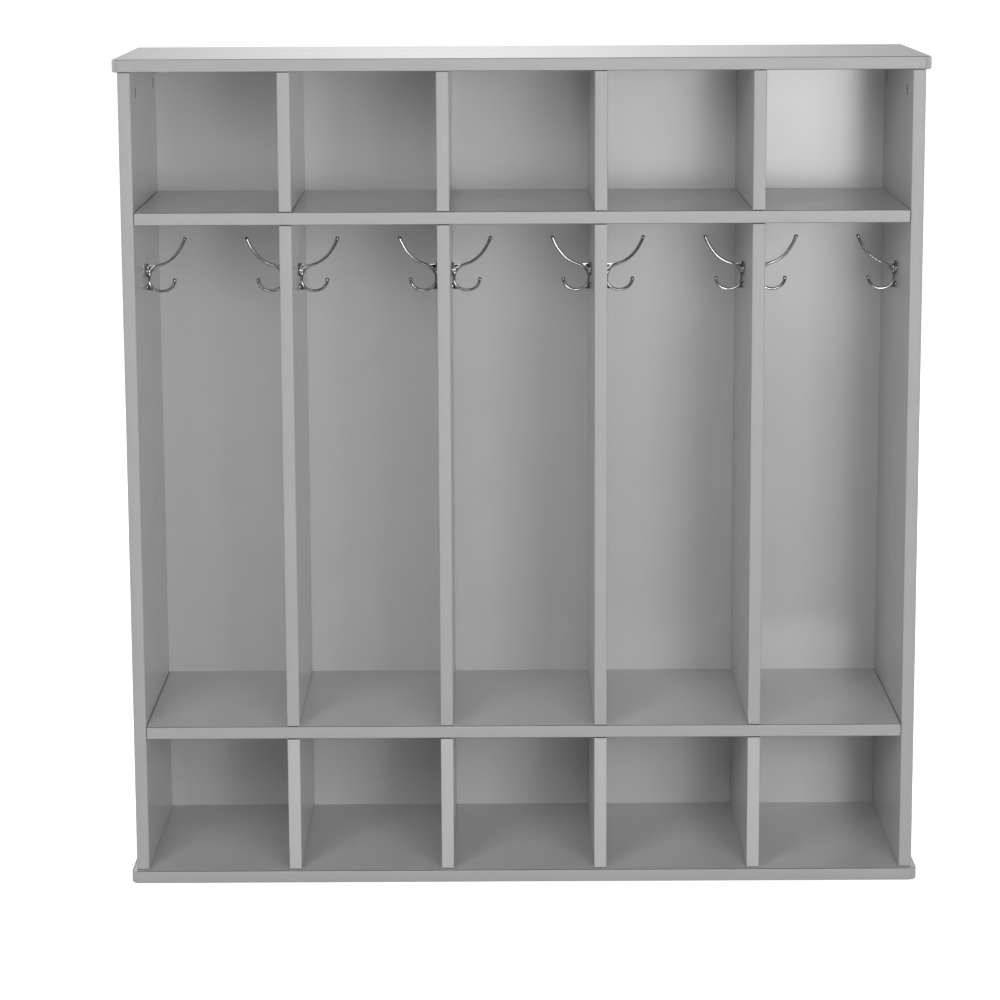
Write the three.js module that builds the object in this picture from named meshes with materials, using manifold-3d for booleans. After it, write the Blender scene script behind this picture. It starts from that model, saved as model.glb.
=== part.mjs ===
// A five-bay coat locker of laminated board. Two slabs overhang a carcass of two sides, two
// shelves, twelve dividers and a back panel, joined by dowels and cam locks. Each tall bay has a
// two-prong hook on either wall. X runs along the front, Y from front to back and Z up, and the
// origin is on the floor below the middle.
import * as THREE from 'three';
import { mergeVertices } from 'three/addons/utils/BufferGeometryUtils.js';
import Module from 'manifold-3d';

const wasm = await Module();
wasm.setup();

// Carcass, in millimetres
const overallWidth = 1219.2;
const overallDepth = 381;
const boardThickness = 19.05;
const upperCubbyHeight = 209.55;
const lockerHeight = 774.7;
const lowerCubbyHeight = 209.55;
const bayCount = 5;
const slabOverhang = 8;
const frontCornerRadius = 12.7;
const rearCornerRadius = 6;
const slabArris = 2;
const boardArris = 1.2;
const buttGap = 0.3;

// Back panel, let into rebates in the sides and slabs
const backThickness = 6.35;
const backLap = 9.5;
const backGap = 0.3;

// Dowels, glued into the ends of the boards that carry them
const dowelDiameter = 8;
const dowelClearance = 0.3;
const dowelEndClearance = 0.5;
const dowelSetback = 50;
const boreWeb = 2;

// Cam locks at the top of the sides, and the bolts that they pull down
const camDiameter = 15;
const camClearance = 0.3;
const camFloor = 1.4;
const camReach = 34;
const camFrontSetback = 68;
const camRearSetback = 48;
const camToDowel = 32;
const camCrossLength = 9;
const camCrossWidth = 1.8;
const camCrossDepth = 2.5;
const boltDiameter = 6.5;
const boltNeckDiameter = 4;
const boltHeadLength = 4.6;
const boltThreadDiameter = 5.5;
const boltThreadLength = 11;
const boltClearance = 0.35;

// Coat hook
const hookSetback = 162;
const hookHeadroom = 37;
const seatGap = 0.3;
const prongReach = 44.1;
const prongDrop = 17;
const neckReach = 4.3;
const shoulderReach = 23.6;
const shoulderRise = 24.1;
const shoulderSlopeShare = 0.32;
const bendReach = 48;
const tipReach = 60.8;
const tipRise = 40.2;
const armThickness = 4.4;
const armWidth = 6;
const armFlareShare = 0.2;
const tipDiameter = 6.6;
const crownShare = 0.72;

// Hook plate with an ear at either side, foot and the two webs behind the arm
const plateThickness = 4;
const plateHubRadius = 10.7;
const plateLip = 2.4;
const plateEdge = 0.9;
const earRadius = 5.4;
const screwSpacing = 21;
const footThickness = 2.8;
const footWidth = 12;
const footHeight = 10.5;
const footLift = 1.2;
const webThickness = 3.6;
const upperWebLift = 6.8;

// Hook screws
const screwHeadDiameter = 6.8;
const screwSink = 2;
const screwCrown = 1.1;
const screwShankDiameter = 3.2;
const screwTip = 2.6;
const screwClearance = 0.3;
const screwEndClearance = 0.5;

// Working allowances, then facets: sides to a full round, and steps to a curve or a quarter turn
const cutOverrun = 1;
const joinRoot = 2;
const mergeTolerance = 1e-4;
const arrisSteps = 1;
const slabArrisSteps = 2;
const cornerSteps = 3;
const dowelSides = 7;
const camSides = 16;
const screwSides = 8;
const armSides = 8;
const armSteps = 16;
const plateSteps = 2;
const footSteps = 5;
const shoulderWebSteps = 3;
const prongSteps = 9;
const prongWebSteps = 3;

// Places that follow from the sizes above
const carcassHalf = overallWidth / 2 - slabOverhang;
const innerHalf = carcassHalf - boardThickness;
const frontY = -overallDepth / 2 + slabOverhang;
const rearY = overallDepth / 2;
const sideDepth = rearY - frontY;
const innerDepth = sideDepth - backThickness - backGap;
const bayWidth = (2 * innerHalf - (bayCount - 1) * boardThickness) / bayCount;
const baseTop = boardThickness;
const lowerShelfBottom = baseTop + lowerCubbyHeight;
const lowerShelfTop = lowerShelfBottom + boardThickness;
const upperShelfBottom = lowerShelfTop + lockerHeight;
const upperShelfTop = upperShelfBottom + boardThickness;
const topBottom = upperShelfTop + upperCubbyHeight;
const boreDepth = (boardThickness - boreWeb) / 2;
const dowelProjection = boreDepth - dowelEndClearance;
const boardDowelYs = [frontY + dowelSetback, frontY + innerDepth - dowelSetback];
const camYs = [frontY + camFrontSetback, rearY - camRearSetback];
const sideDowelYs = [camYs[0] + camToDowel, camYs[1] - camToDowel];
const sideBottom = baseTop + buttGap;
const sideTop = topBottom - buttGap;
const camZ = sideTop - camReach;
const boltBore = boltDiameter / 2 + boltClearance;
const camDepth = boardThickness / 2 + boltBore + camFloor;
const shoulderHeight = prongDrop + shoulderRise;
const tipHeight = shoulderHeight + tipRise;
const hookY = frontY + hookSetback;
const hookZ = upperShelfBottom - hookHeadroom - tipHeight;
const plateHeight = shoulderHeight + plateLip - plateHubRadius;
const screwYs = [-screwSpacing / 2, screwSpacing / 2];

// Finishes
const laminate = { color: 0xc5c5c6, roughness: 0.3, metalness: 0 };
const chrome = { color: 0xc4c5c5, roughness: 0.12, metalness: 1 };
const zinc = { color: 0xb8b8b8, roughness: 0.38, metalness: 0.9 };
const steel = { color: 0xcfcfd0, roughness: 0.25, metalness: 1 };

// Directions
const alongX = new THREE.Vector3(1, 0, 0);
const up = new THREE.Vector3(0, 0, 1);
const down = new THREE.Vector3(0, 0, -1);
const outFromWall = new THREE.Matrix4().makeBasis(new THREE.Vector3(0, 1, 0), up, alongX);

// A closed geometry becomes a solid that can be cut and joined, and back again.
function solidOf(geometry) {
  geometry.deleteAttribute('normal');
  geometry.deleteAttribute('uv');
  const merged = mergeVertices(geometry, mergeTolerance);
  const corners = merged.index.array;
  const kept = [];
  for (let i = 0; i < corners.length; i += 3) {
    const [a, b, c] = corners.slice(i, i + 3);
    if (a !== b && b !== c && c !== a) kept.push(a, b, c);
  }
  return new wasm.Manifold(new wasm.Mesh({
    numProp: 3,
    vertProperties: merged.attributes.position.array,
    triVerts: Uint32Array.from(kept),
  }));
}

function geometryOf(solid) {
  const { vertProperties, triVerts } = solid.getMesh();
  const geometry = new THREE.BufferGeometry();
  geometry.setAttribute('position', new THREE.BufferAttribute(vertProperties, 3));
  geometry.setIndex(new THREE.BufferAttribute(triVerts, 1));
  geometry.computeVertexNormals();
  return geometry;
}

function meshOf(name, geometry, finish) {
  const material = new THREE.MeshStandardMaterial({ ...finish, flatShading: true });
  const mesh = new THREE.Mesh(geometry, material);
  mesh.name = name;
  return mesh;
}

// A turned piece: points are pairs of radius and place along the axis, from axis to axis.
function turned(points, sides, axis) {
  const profile = points.map(([radius, place]) => new THREE.Vector2(radius, place));
  const geometry = new THREE.LatheGeometry(profile, sides);
  const turn = new THREE.Quaternion().setFromUnitVectors(new THREE.Vector3(0, 1, 0), axis);
  return geometry.applyQuaternion(turn);
}

function rod(radius, start, end, sides, axis) {
  return turned([[0, start], [radius, start], [radius, end], [0, end]], sides, axis);
}

// A piece of the carcass: its solid in its own frame, and that frame's place in the locker.
// Holes, pegs and cuts are given by their place in the locker.
class Board {
  constructor(name, place, geometry) {
    this.name = name;
    this.place = place;
    this.solid = solidOf(geometry);
  }

  local(geometry, point) {
    return solidOf(geometry.translate(...point.clone().sub(this.place).toArray()));
  }

  join(geometry, point) {
    this.solid = this.solid.add(this.local(geometry, point));
  }

  cut(geometry, point) {
    this.solid = this.solid.subtract(this.local(geometry, point));
  }

  drill(point, inward, diameter, depth, sides) {
    this.cut(rod(diameter / 2, -cutOverrun, depth, sides, inward), point);
  }

  peg(point, outward) {
    this.join(rod(dowelDiameter / 2, -joinRoot, dowelProjection, dowelSides, outward), point);
  }

  dowelHole(point, inward) {
    this.drill(point, inward, dowelDiameter + 2 * dowelClearance, boreDepth, dowelSides);
  }

  mesh() {
    const mesh = meshOf(this.name, geometryOf(this.solid), laminate);
    mesh.position.copy(this.place);
    return mesh;
  }
}

// An upright board with its two front edges rounded, from its lower front left corner.
function uprightBoard(depth, height) {
  const plan = new THREE.Shape();
  plan.moveTo(0, depth);
  plan.lineTo(0, boardArris);
  plan.absarc(boardArris, boardArris, boardArris, Math.PI, 1.5 * Math.PI);
  plan.absarc(boardThickness - boardArris, boardArris, boardArris, 1.5 * Math.PI, 2 * Math.PI);
  plan.lineTo(boardThickness, depth);
  const options = { depth: height, bevelEnabled: false, curveSegments: arrisSteps };
  return new THREE.ExtrudeGeometry(plan, options);
}

// The same board laid flat along X.
function levelBoard(depth, length) {
  return uprightBoard(depth, length).rotateY(Math.PI / 2).translate(0, 0, boardThickness);
}

// Top or base: rounded corners in plan, and every edge rounded. Its frame is at its underside's
// middle.
function slabBoard() {
  const x = overallWidth / 2 - slabArris;
  const y = overallDepth / 2 - slabArris;
  const front = frontCornerRadius - slabArris;
  const rear = rearCornerRadius - slabArris;
  const plan = new THREE.Shape();
  plan.absarc(x - rear, y - rear, rear, 0, 0.5 * Math.PI);
  plan.absarc(rear - x, y - rear, rear, 0.5 * Math.PI, Math.PI);
  plan.absarc(front - x, front - y, front, Math.PI, 1.5 * Math.PI);
  plan.absarc(x - front, front - y, front, 1.5 * Math.PI, 2 * Math.PI);
  const options = {
    depth: boardThickness - 2 * slabArris,
    bevelThickness: slabArris,
    bevelSize: slabArris,
    bevelSegments: slabArrisSteps,
    curveSegments: cornerSteps,
  };
  return new THREE.ExtrudeGeometry(plan, options).translate(0, 0, slabArris);
}

// The boards of the carcass
const topPanel = new Board('top_panel', new THREE.Vector3(0, 0, topBottom), slabBoard());
const basePanel = new Board('base_panel', new THREE.Vector3(0, 0, 0), slabBoard());

function sidePanel(name, x) {
  const place = new THREE.Vector3(x, frontY, sideBottom);
  return new Board(name, place, uprightBoard(sideDepth, sideTop - sideBottom));
}

const leftSide = sidePanel('left_side_panel', -carcassHalf);
const rightSide = sidePanel('right_side_panel', innerHalf);

function shelf(name, z) {
  const place = new THREE.Vector3(-innerHalf + buttGap, frontY, z);
  return new Board(name, place, levelBoard(innerDepth, 2 * innerHalf - 2 * buttGap));
}

const lowerShelf = shelf('lower_shelf', lowerShelfBottom);
const upperShelf = shelf('upper_shelf', upperShelfBottom);

// Each tier of dividers stands between two level boards.
const tiers = [
  { name: 'lower', below: basePanel, above: lowerShelf, floor: baseTop, ceiling: lowerShelfBottom },
  {
    name: 'middle', below: lowerShelf, above: upperShelf,
    floor: lowerShelfTop, ceiling: upperShelfBottom,
  },
  { name: 'upper', below: upperShelf, above: topPanel, floor: upperShelfTop, ceiling: topBottom },
];

function dividerLeft(index) {
  return -innerHalf + (index + 1) * bayWidth + index * boardThickness;
}

function divider(tier, index) {
  const place = new THREE.Vector3(dividerLeft(index), frontY, tier.floor + buttGap);
  const height = tier.ceiling - tier.floor - 2 * buttGap;
  const board = new Board(
    `${tier.name}_divider_${index + 1}`, place, uprightBoard(innerDepth, height),
  );
  const x = dividerLeft(index) + boardThickness / 2;
  for (const y of boardDowelYs) {
    board.peg(new THREE.Vector3(x, y, tier.floor + buttGap), down);
    board.peg(new THREE.Vector3(x, y, tier.ceiling - buttGap), up);
    tier.below.dowelHole(new THREE.Vector3(x, y, tier.floor), down);
    tier.above.dowelHole(new THREE.Vector3(x, y, tier.ceiling), up);
  }
  return board;
}

const dividerCount = bayCount - 1;
const dividers = tiers.map((tier) => (
  Array.from({ length: dividerCount }, (_, index) => divider(tier, index))
));
const middleDividers = dividers[1];

// Dowels between shelves and sides, and between sides and slabs
const sides = [
  { board: leftSide, face: -innerHalf, middle: -innerHalf - boardThickness / 2, inward: 1 },
  { board: rightSide, face: innerHalf, middle: innerHalf + boardThickness / 2, inward: -1 },
];

for (const side of sides) {
  const intoBay = alongX.clone().multiplyScalar(side.inward);
  const intoSide = intoBay.clone().negate();
  for (const [board, bottom] of [[lowerShelf, lowerShelfBottom], [upperShelf, upperShelfBottom]]) {
    const z = bottom + boardThickness / 2;
    for (const y of boardDowelYs) {
      board.peg(new THREE.Vector3(side.face + side.inward * buttGap, y, z), intoSide);
      side.board.dowelHole(new THREE.Vector3(side.face, y, z), intoSide);
    }
  }
  for (const y of sideDowelYs) {
    side.board.peg(new THREE.Vector3(side.middle, y, sideBottom), down);
    side.board.peg(new THREE.Vector3(side.middle, y, sideTop), up);
    basePanel.dowelHole(new THREE.Vector3(side.middle, y, baseTop), down);
    topPanel.dowelHole(new THREE.Vector3(side.middle, y, topBottom), up);
  }
}

// Back panel, and the rebates that it sits in
const backHalfWidth = innerHalf + backLap;
const backBottom = baseTop - backLap;
const backHeight = topBottom + backLap - backBottom;

function backBlock(gap, behind) {
  return new THREE.BoxGeometry(
    2 * (backHalfWidth + gap), backThickness + gap + behind, backHeight + 2 * gap,
  ).translate(0, (behind - gap - backThickness) / 2, backHeight / 2);
}

const backPlace = new THREE.Vector3(0, rearY, backBottom);
const backPanel = new Board('back_panel', backPlace, backBlock(0, 0));
for (const board of [leftSide, rightSide, topPanel, basePanel]) {
  board.cut(backBlock(backGap, cutOverrun), backPlace);
}

// Cam lock, from the middle of its outer face, with X pointing into the board. It has a cross
// recess for the screwdriver, cut by bars centred on that face, and a pocket that takes the bolt's
// head from above.
function camGeometry() {
  let cam = solidOf(rod(camDiameter / 2, 0, camDepth, camSides, alongX));
  for (const turn of [0, Math.PI / 2]) {
    const slot = new THREE.BoxGeometry(2 * camCrossDepth, camCrossWidth, camCrossLength);
    cam = cam.subtract(solidOf(slot.rotateX(turn)));
  }
  const pocketFloor = -boltHeadLength / 2 - boltClearance;
  const pocket = rod(boltBore, pocketFloor, camDiameter, screwSides, up);
  return geometryOf(cam.subtract(solidOf(pocket.translate(boardThickness / 2, 0, 0))));
}

// Cam bolt, from the middle of its head, standing up into the top panel.
function boltGeometry() {
  const head = boltDiameter / 2;
  const neck = boltNeckDiameter / 2;
  const shaftStart = camDiameter / 2 + boltClearance;
  const shaftEnd = camReach + buttGap / 2;
  const thread = boltThreadDiameter / 2;
  return turned([
    [0, -boltHeadLength / 2],
    [head, -boltHeadLength / 2],
    [head, boltHeadLength / 2],
    [neck, boltHeadLength / 2],
    [neck, shaftStart],
    [head, shaftStart],
    [head, shaftEnd],
    [thread, shaftEnd],
    [thread, camReach + boltThreadLength],
    [0, camReach + boltThreadLength],
  ], screwSides, up);
}

const fittings = new THREE.Group();
for (const [sideIndex, side] of sides.entries()) {
  const sideName = ['left', 'right'][sideIndex];
  const intoSide = alongX.clone().multiplyScalar(-side.inward);
  for (const [yIndex, y] of camYs.entries()) {
    const name = `${sideName}_${['front', 'rear'][yIndex]}_cam`;
    const faceCentre = new THREE.Vector3(side.face, y, camZ);
    const holeDiameter = camDiameter + 2 * camClearance;
    side.board.drill(faceCentre, intoSide, holeDiameter, camDepth + 2 * camClearance, camSides);
    const shaftTop = new THREE.Vector3(side.middle, y, sideTop);
    side.board.drill(shaftTop, down, 2 * boltBore, camReach, screwSides);
    const threadHole = boltThreadDiameter + 2 * boltClearance;
    const threadMouth = new THREE.Vector3(side.middle, y, topBottom);
    topPanel.drill(threadMouth, up, threadHole, boltThreadLength, screwSides);
    const lock = new THREE.Group();
    lock.position.set(side.face - side.inward * camClearance, y, camZ);
    lock.rotation.z = side.inward > 0 ? Math.PI : 0;
    lock.add(meshOf(`${name}_lock`, camGeometry(), zinc));
    const bolt = meshOf(`${name}_bolt`, boltGeometry(), steel);
    bolt.position.set(side.middle, y, camZ);
    fittings.add(lock, bolt);
  }
}

// The hook's centre line, out from the wall and up: upper tip, shoulder, neck, then the lower
// prong as half an ellipse.
function hookLine() {
  const slope = shoulderSlopeShare;
  const line = new THREE.Path();
  line.moveTo(tipReach, tipHeight);
  line.quadraticCurveTo(
    bendReach, shoulderHeight + (bendReach - shoulderReach) * slope, shoulderReach, shoulderHeight,
  );
  line.quadraticCurveTo(
    neckReach, shoulderHeight - (shoulderReach - neckReach) * slope, neckReach, prongDrop,
  );
  const radius = (prongReach - neckReach) / 2;
  line.absellipse(neckReach + radius, prongDrop, radius, prongDrop, Math.PI, 2 * Math.PI);
  return line;
}

// Stations along the arm: an oval bar that gets a little stouter towards its ends, with a ball at
// either end. Each station has half the bar's size in the hook's plane and across it.
function armStations(line) {
  const points = line.getSpacedPoints(armSteps);
  const bar = points.map((point, i) => {
    const before = points[Math.max(i - 1, 0)];
    const after = points[Math.min(i + 1, armSteps)];
    const girth = 1 + armFlareShare * (2 * i / armSteps - 1) ** 2;
    const along = after.clone().sub(before).normalize();
    return { point, along, thick: girth * armThickness / 2, wide: girth * armWidth / 2 };
  });
  const radius = tipDiameter / 2;
  const moved = (station, distance) => (
    { ...station, point: station.point.clone().addScaledVector(station.along, distance) }
  );
  const ball = (station, outward) => {
    const middle = { ...station, thick: radius, wide: radius };
    const crown = moved(middle, outward * radius * crownShare);
    crown.thick = radius * Math.sqrt(1 - crownShare ** 2);
    crown.wide = crown.thick;
    const pole = { ...moved(middle, outward * radius), thick: 0, wide: 0 };
    return [pole, crown, middle, moved(station, -outward * radius * crownShare)];
  };
  return [...ball(bar[0], -1), ...bar.slice(1, -1), ...ball(bar[armSteps], 1).reverse()];
}

function sweptArm(line) {
  const stations = armStations(line);
  const positions = [];
  const corners = [];
  for (const [i, { point, along, thick, wide }] of stations.entries()) {
    for (let j = 0; j < armSides; j += 1) {
      const angle = (j / armSides) * 2 * Math.PI;
      const across = Math.cos(angle) * thick;
      positions.push(point.x - along.y * across, Math.sin(angle) * wide, point.y + along.x * across);
      if (i < stations.length - 1) {
        const a = i * armSides + j;
        const b = i * armSides + (j + 1) % armSides;
        corners.push(a, a + armSides, b, b, a + armSides, b + armSides);
      }
    }
  }
  const geometry = new THREE.BufferGeometry();
  geometry.setAttribute('position', new THREE.Float32BufferAttribute(positions, 3));
  geometry.setIndex(corners);
  return geometry;
}

// A web stands in the hook's plane, its outline given out from the wall and up.
function web(points) {
  const options = { depth: webThickness, bevelEnabled: false };
  const plate = new THREE.ExtrudeGeometry(new THREE.Shape(points), options);
  return plate.rotateX(Math.PI / 2).translate(0, webThickness / 2, 0);
}

// A pad lies flat on the wall, its outline given along Y and up, its outer edge eased. The back
// is cut off square at the wall.
function pad(outline, thickness, steps) {
  const options = {
    depth: thickness,
    bevelThickness: plateEdge,
    bevelSize: plateEdge,
    bevelOffset: -plateEdge,
    bevelSegments: 1,
    curveSegments: steps,
  };
  const block = new THREE.ExtrudeGeometry(outline, options).translate(0, 0, -plateEdge);
  const behind = new THREE.BoxGeometry(2 * thickness, 2 * screwSpacing, 2 * screwSpacing);
  return solidOf(block.applyMatrix4(outFromWall))
    .subtract(solidOf(behind.translate(-thickness, 0, 0)));
}

// The plate's outline: a round hub with an ear at either side, joined by tangents.
function plateOutline() {
  const ear = screwSpacing / 2;
  const tangent = Math.acos((plateHubRadius - earRadius) / ear);
  const outline = new THREE.Shape();
  outline.absarc(ear, 0, earRadius, -tangent, tangent);
  outline.absarc(0, 0, plateHubRadius, tangent, Math.PI - tangent);
  outline.absarc(-ear, 0, earRadius, Math.PI - tangent, Math.PI + tangent);
  outline.absarc(0, 0, plateHubRadius, Math.PI + tangent, 2 * Math.PI - tangent);
  return outline;
}

function footOutline() {
  const outline = new THREE.Shape();
  outline.absellipse(0, 0, footWidth / 2, footHeight / 2, 0, 2 * Math.PI);
  return outline;
}

// The screw's outline from tip to crown. Its collar is flush with the plate's face, and the same
// outline with some clearance cuts the sunk hole.
function screwOutline(clearance) {
  const shank = screwShankDiameter / 2 + clearance;
  const head = screwHeadDiameter / 2 + clearance;
  return {
    shank,
    head,
    neck: plateThickness + seatGap - screwSink,
    face: plateThickness + seatGap,
  };
}

function screwGeometry() {
  const { shank, head, neck, face } = screwOutline(0);
  const tip = -boreDepth + screwEndClearance;
  return turned([
    [0, tip],
    [shank, tip + screwTip],
    [shank, neck],
    [head, face],
    [0, face + screwCrown],
  ], screwSides, alongX);
}

function screwHole() {
  const { shank, head, neck, face } = screwOutline(screwClearance);
  return turned([
    [0, -cutOverrun],
    [shank, -cutOverrun],
    [shank, neck],
    [head, face],
    [head, face + cutOverrun],
    [0, face + cutOverrun],
  ], screwSides, alongX);
}

// The whole hook, from the wall's face and the lowest point of its line
function hookGeometry() {
  const line = hookLine();
  let hook = solidOf(sweptArm(line));
  const shoulderCurve = line.curves[1];
  const prongCurve = line.curves.at(-1);
  const upperWeb = web([
    ...shoulderCurve.getPoints(shoulderWebSteps),
    new THREE.Vector2(plateThickness / 2, prongDrop + upperWebLift),
    new THREE.Vector2(plateThickness / 2, shoulderHeight),
  ]);
  const prongRoot = prongCurve.getPoints(prongSteps).slice(1, prongWebSteps + 1);
  const lowerWeb = web([
    ...prongRoot,
    new THREE.Vector2(footThickness / 2, prongRoot.at(-1).y),
    new THREE.Vector2(footThickness / 2, prongRoot[0].y),
  ]);
  hook = hook.add(solidOf(upperWeb)).add(solidOf(lowerWeb));
  hook = hook.add(pad(plateOutline(), plateThickness, plateSteps).translate([0, 0, plateHeight]));
  const footCentre = footLift + footHeight / 2;
  hook = hook.add(pad(footOutline(), footThickness, footSteps).translate([0, 0, footCentre]));
  for (const y of screwYs) {
    hook = hook.subtract(solidOf(screwHole().translate(-seatGap, y, plateHeight)));
  }
  return geometryOf(hook);
}

// One hook on either wall of every bay, each held by two screws in its ears
function hookOnWall(name, board, wallX, outward) {
  const intoWall = alongX.clone().multiplyScalar(-outward);
  const group = new THREE.Group();
  group.position.set(wallX, hookY, hookZ);
  group.rotation.z = outward > 0 ? 0 : Math.PI;
  const hook = meshOf(name, hookGeometry(), chrome);
  hook.position.x = seatGap;
  group.add(hook);
  for (const [index, y] of screwYs.entries()) {
    const screw = meshOf(`${name}_screw_${index + 1}`, screwGeometry(), steel);
    screw.position.set(0, y, plateHeight);
    group.add(screw);
    const mouth = new THREE.Vector3(wallX, hookY + y, hookZ + plateHeight);
    board.drill(mouth, intoWall, screwShankDiameter + 2 * screwClearance, boreDepth, screwSides);
  }
  return group;
}

const hooks = new THREE.Group();
for (let bay = 0; bay < bayCount; bay += 1) {
  const leftWall = -innerHalf + bay * (bayWidth + boardThickness);
  const leftBoard = bay === 0 ? leftSide : middleDividers[bay - 1];
  const rightBoard = bay === bayCount - 1 ? rightSide : middleDividers[bay];
  hooks.add(hookOnWall(`bay_${bay + 1}_left_hook`, leftBoard, leftWall, 1));
  hooks.add(hookOnWall(`bay_${bay + 1}_right_hook`, rightBoard, leftWall + bayWidth, -1));
}

// The whole locker
const carcass = new THREE.Group();
for (const board of [topPanel, basePanel, leftSide, rightSide, upperShelf, lowerShelf]) {
  carcass.add(board.mesh());
}
for (const board of [...dividers.flat(), backPanel]) {
  carcass.add(board.mesh());
}

const locker = new THREE.Group();
locker.add(carcass, fittings, hooks);

export default locker;
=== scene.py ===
import math

import bmesh
import bpy
from mathutils import Euler, Matrix, Vector

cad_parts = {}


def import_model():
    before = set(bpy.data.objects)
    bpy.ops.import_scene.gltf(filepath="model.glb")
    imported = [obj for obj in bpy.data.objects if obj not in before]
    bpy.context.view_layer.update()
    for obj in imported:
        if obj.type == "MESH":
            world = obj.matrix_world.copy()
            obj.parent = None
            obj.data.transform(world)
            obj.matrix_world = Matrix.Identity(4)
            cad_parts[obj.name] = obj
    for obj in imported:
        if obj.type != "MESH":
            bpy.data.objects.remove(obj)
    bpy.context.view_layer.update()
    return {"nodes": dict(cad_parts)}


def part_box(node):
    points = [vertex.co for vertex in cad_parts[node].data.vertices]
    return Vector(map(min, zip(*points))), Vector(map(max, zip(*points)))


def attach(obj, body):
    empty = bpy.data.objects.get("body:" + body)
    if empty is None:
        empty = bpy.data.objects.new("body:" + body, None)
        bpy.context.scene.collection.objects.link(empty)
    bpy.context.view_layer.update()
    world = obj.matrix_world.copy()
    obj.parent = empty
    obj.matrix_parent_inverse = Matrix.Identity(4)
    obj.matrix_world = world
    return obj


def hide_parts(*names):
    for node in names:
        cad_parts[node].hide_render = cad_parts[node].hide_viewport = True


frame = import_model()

# Looks of a five-bay coat locker in grey laminate with chrome hooks. All lengths are in metres.
BAY_COUNT = 5
TIERS = ("lower", "middle", "upper")

# The walls of a bay, or of the unit, and the way inward from each along X
SIDES = (("left", 1), ("right", -1))

# Meshes: how they are merged and shaded
MERGE_DISTANCE = 1e-7
SHARP_DEGREES = 30
FLAT_AREA = 5e-4
ROUND_SIDES = 48

# Boards: gaps, eased edges, and the seam between edge band and face
BUTT_GAP = 0.0003
BACK_GAP = 0.0003
BOARD_ARRIS = 0.0012
SLAB_ARRIS = 0.002
REAR_ARRIS = 0.0004
END_ARRIS = 0.0002
END_RELIEF = 0.0008
END_GROOVE = 0.0007
BOARD_BAND = 0.002
SLAB_BAND = 0.003
SEAM_WIDTH = 0.0004
SEAM_DEPTH = 0.0003
FRONT_CORNER = 0.0127
REAR_CORNER = 0.006
ARC_STEPS = 6
CORNER_STEPS = 12

# The faces of a level arris that are dark: their least and most lean from upright, in degrees
BOARD_LINE_LEANS = (35, 75)
SLAB_LINE_LEANS = (45, 75)

# The order of the materials on a board, and the axis that its length runs along
FACE_INDEX = 0
BAND_INDEX = 1
JOINT_SHADE_INDEX = 2
ACROSS = 0
UP = 2

# Cam locks, a little below the face of the side
CAM_HOLE = 0.0156
CAM_HOLE_DEPTH = 0.0145
CAM_SINK = 0.0006
CAM_ARRIS = 0.0005
CAM_ARRIS_MIDDLE_SHARE = 0.3
CAM_CROSS_LENGTH = 0.0092
CAM_CROSS_WIDTH = 0.0019
CAM_CROSS_DEPTH = 0.0025

# Coat hook: its centre line out from the wall and up, and the bar along it
HOOK_GAP = 0.0003
PRONG_REACH = 0.0441
PRONG_DROP = 0.017
NECK_REACH = 0.0043
SHOULDER_REACH = 0.0236
SHOULDER_RISE = 0.0241
SHOULDER_HEIGHT = PRONG_DROP + SHOULDER_RISE
SHOULDER_SLOPE_SHARE = 0.32
BEND_REACH = 0.048
TIP_REACH = 0.0608
TIP_RISE = 0.0402
TIP_DIAMETER = 0.0066
TIP_SIDES = 24
TIP_RINGS = 16
ARM_THICK = 0.0044
ARM_WIDE = 0.006
ARM_FLARE_SHARE = 0.2
ARM_SIDES = 24
CURVE_STEPS = 28

# Coat hook: plate, foot and webs, and how the casting is blended
PLATE_THICK = 0.004
PLATE_FACE = HOOK_GAP + PLATE_THICK
PLATE_HUB = 0.0107
PLATE_LIP = 0.0024
PLATE_HEIGHT = SHOULDER_HEIGHT + PLATE_LIP - PLATE_HUB
EAR_RADIUS = 0.0054
SCREW_SPACING = 0.021
FOOT_THICK = 0.0028
FOOT_WIDE = 0.012
FOOT_HIGH = 0.0105
FOOT_LIFT = 0.0012
FOOT_STEPS = 24
WEB_THICK = 0.0036
CAST_VOXEL = 0.0006
CAST_SMOOTHING = 7
CAST_SHARP_DEGREES = 40

# Webs of the hook: the points of the neck below the upper one, and the prong's stretch of the lower
UPPER_WEB_END = 4
LOWER_WEB_SHARES = (0.125, 0.375)

# Screws of the hooks
SCREW_HEAD = 0.0068
SCREW_SINK = 0.002
SCREW_CROWN = 0.0011
CROWN_DEGREES = 75
CROWN_STEPS = 5
SCREW_SHANK = 0.0032
SCREW_TIP_SHARE = 0.2
SCREW_DEPTH = 0.008
SCREW_SIDES = 32
SCREW_CLEARANCE = 0.0003

# Every screw: its turn beyond the one before, in radians, and its cross recess
SCREW_TURN = 2.4
RECESS_LENGTH_SHARE = 0.62
RECESS_WIDTH_SHARE = 0.14
RECESS_DEPTH_SHARE = 0.3
CROSS_FOOT_SHARE = 0.45

# Flush screws of the back and the base, with radii as shares of the head's or the hole's
FLUSH_HEAD = 0.0074
FLUSH_SINK = 0.0004
FLUSH_RIM_SINK = 0.0006
FLUSH_FOOT_SHARE = 0.5
FLUSH_FLAT_SHARE = 0.94
FLUSH_MIDDLE_SHARE = 0.3
FLUSH_HOLE_FOOT_SHARE = 0.4
FLUSH_SIDES = 24
BACK_SCREW_INSET = 0.0048
BACK_SCREW_PITCH = 0.18
DIVIDER_SCREW_PITCH = 0.27
BASE_SCREW_SETBACK = 0.09


def new_piece(name, mesh, *materials):
    """A new object in the scene, with its materials."""
    piece = bpy.data.objects.new(name, mesh)
    bpy.context.scene.collection.objects.link(piece)
    for material in materials:
        mesh.materials.append(material)
    return piece


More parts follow.
